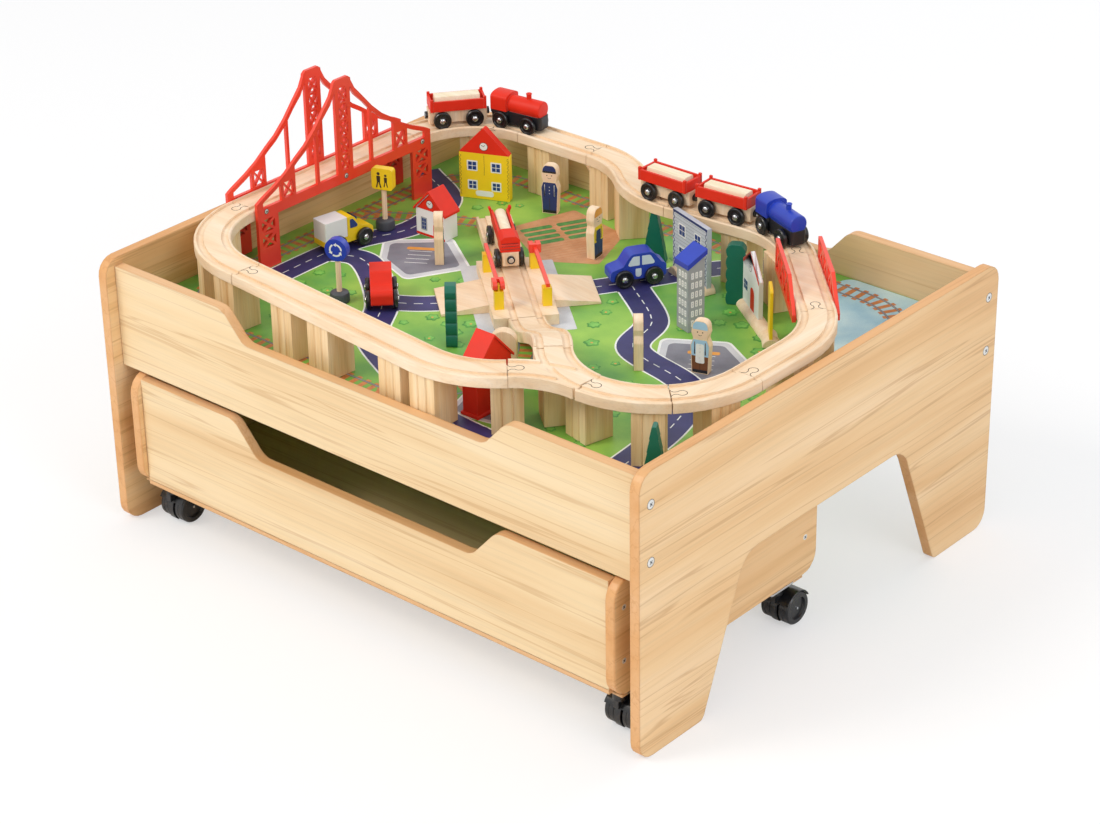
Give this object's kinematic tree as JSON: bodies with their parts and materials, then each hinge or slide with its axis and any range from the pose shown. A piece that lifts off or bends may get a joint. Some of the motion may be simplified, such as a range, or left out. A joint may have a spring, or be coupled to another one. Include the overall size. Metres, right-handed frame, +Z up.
{
  "type": "car track activity table",
  "caption": "Low wooden activity table with a raised toy railway, bridge, level crossing, houses and cars on its board, and a rolling drawer below.",
  "frame": {"origin": "centre of the footprint, on the floor that the end panels stand on", "axes": "+X along the table's long side, -Y out of the drawer's front, +Z up"},
  "size_m": [0.75, 0.6, 0.444],
  "materials": {
    "oak_panels": "matt lacquered, light oak grain",
    "drawer_oak": "matt lacquered, light oak grain",
    "board_paint": "satin, printed green with roads",
    "pale_beech": "smooth bare beech",
    "red_plastic": "gloss",
    "black_plastic": "satin",
    "red_paint": "gloss paint on wood",
    "blue_paint": "gloss paint on wood",
    "yellow_paint": "gloss paint on wood",
    "green_paint": "satin paint on wood",
    "white_paint": "satin paint on wood",
    "grey_paint": "satin paint on wood"
  },
  "bodies": {
    "table": {"back_left_curve": "pale_beech", "back_rail": "oak_panels", "back_right_track": "pale_beech", "back_track": "pale_beech", "baker_figure": "pale_beech", "blue_car": "blue_paint", "blue_locomotive": "blue_paint", "blue_sign": "blue_paint", "board_battens": "pale_beech", "bridge_deck": "pale_beech", "bridge_inner_truss": "red_plastic", "bridge_outer_truss": "red_plastic", "corner_tree": "green_paint", "farmer_figure": "pale_beech", "front_left_curve": "pale_beech", "front_rail": "oak_panels", "front_right_curve": "pale_beech", "front_track": "pale_beech", "house_front_board": "white_paint", "left_end_panel": "oak_panels", "level_crossing": "pale_beech", "log_wagon": "red_paint", "officer_figure": "pale_beech", "play_board": "board_paint", "ramp_track": "pale_beech", "red_house": "red_paint", "red_locomotive": "red_paint", "red_wagon_front": "red_paint", "red_wagon_rear": "red_paint", "right_curve": "pale_beech", "right_end_panel": "oak_panels", "right_run": "pale_beech", "s_curve_track": "pale_beech", "small_bridge_parapets": "red_plastic", "small_bridge_track": "pale_beech", "station_panel": "white_paint", "switch_track": "pale_beech", "tower_block": "grey_paint", "wavy_tree": "green_paint", "white_house": "white_paint", "yellow_house": "yellow_paint", "yellow_sign": "yellow_paint"},
    "drawer": {"drawer_back": "drawer_oak", "drawer_floor": "drawer_oak", "drawer_front": "drawer_oak", "drawer_left_side": "drawer_oak", "drawer_right_side": "drawer_oak"},
    "caster_front_left": {"caster_hood_front_left": "black_plastic"},
    "wheels_front_left": {"caster_wheels_front_left": "black_plastic"},
    "caster_front_right": {"caster_hood_front_right": "black_plastic"},
    "wheels_front_right": {"caster_wheels_front_right": "black_plastic"},
    "caster_back_left": {"caster_hood_back_left": "black_plastic"},
    "wheels_back_left": {"caster_wheels_back_left": "black_plastic"},
    "caster_back_right": {"caster_hood_back_right": "black_plastic"},
    "wheels_back_right": {"caster_wheels_back_right": "black_plastic"},
    "left_barrier": {"barrier_arm_left": "red_plastic"},
    "right_barrier": {"barrier_arm_right": "red_plastic"},
    "crossing_wagon": {"crossing_wagon": "red_paint"},
    "yellow_truck": {"yellow_truck": "yellow_paint"},
    "red_car": {"red_car": "red_paint"}
  },
  "joints": [
    {"name": "drawer_roll", "type": "slide", "parent": "table", "child": "drawer", "axis": [0, -1, 0], "range_m": [0, 0.34]},
    {"name": "caster_front_left_swivel", "type": "hinge", "parent": "drawer", "child": "caster_front_left", "pos_m": [-0.3229, -0.2675, 0.0189], "axis": [0, 0, 1], "continuous": true},
    {"name": "caster_front_left_spin", "type": "hinge", "parent": "caster_front_left", "child": "wheels_front_left", "pos_m": [-0.3229, -0.2525, 0.0189], "axis": [1, 0, 0], "continuous": true},
    {"name": "caster_front_right_swivel", "type": "hinge", "parent": "drawer", "child": "caster_front_right", "pos_m": [0.3229, -0.2675, 0.0189], "axis": [0, 0, 1], "continuous": true},
    {"name": "caster_front_right_spin", "type": "hinge", "parent": "caster_front_right", "child": "wheels_front_right", "pos_m": [0.3229, -0.2525, 0.0189], "axis": [1, 0, 0], "continuous": true},
    {"name": "caster_back_left_swivel", "type": "hinge", "parent": "drawer", "child": "caster_back_left", "pos_m": [-0.3229, -0.0125, 0.0189], "axis": [0, 0, 1], "continuous": true},
    {"name": "caster_back_left_spin", "type": "hinge", "parent": "caster_back_left", "child": "wheels_back_left", "pos_m": [-0.3229, 0.0025, 0.0189], "axis": [1, 0, 0], "continuous": true},
    {"name": "caster_back_right_swivel", "type": "hinge", "parent": "drawer", "child": "caster_back_right", "pos_m": [0.3229, -0.0125, 0.0189], "axis": [0, 0, 1], "continuous": true},
    {"name": "caster_back_right_spin", "type": "hinge", "parent": "caster_back_right", "child": "wheels_back_right", "pos_m": [0.3229, 0.0025, 0.0189], "axis": [1, 0, 0], "continuous": true},
    {"name": "left_barrier_lift", "type": "hinge", "parent": "table", "child": "left_barrier", "pos_m": [-0.03064, -0.04169, 0.2969], "axis": [0.6494, 0.7604, 0], "range_deg": [0, 80]},
    {"name": "right_barrier_lift", "type": "hinge", "parent": "table", "child": "right_barrier", "pos_m": [-0.06836, 0.05889, 0.2969], "axis": [-0.6494, -0.7604, 0], "range_deg": [0, 80]},
    {"name": "crossing_wagon_roll", "type": "slide", "parent": "table", "child": "crossing_wagon", "axis": [0.7604, -0.6494, 0], "range_m": [0, 0.09]},
    {"name": "yellow_truck_roll", "type": "slide", "parent": "table", "child": "yellow_truck", "axis": [0.1736, 0.9848, 0], "range_m": [-0.04, 0.01]},
    {"name": "red_car_roll", "type": "slide", "parent": "table", "child": "red_car", "axis": [0.7071, -0.7071, 0], "range_m": [0, 0.05]}
  ]
}
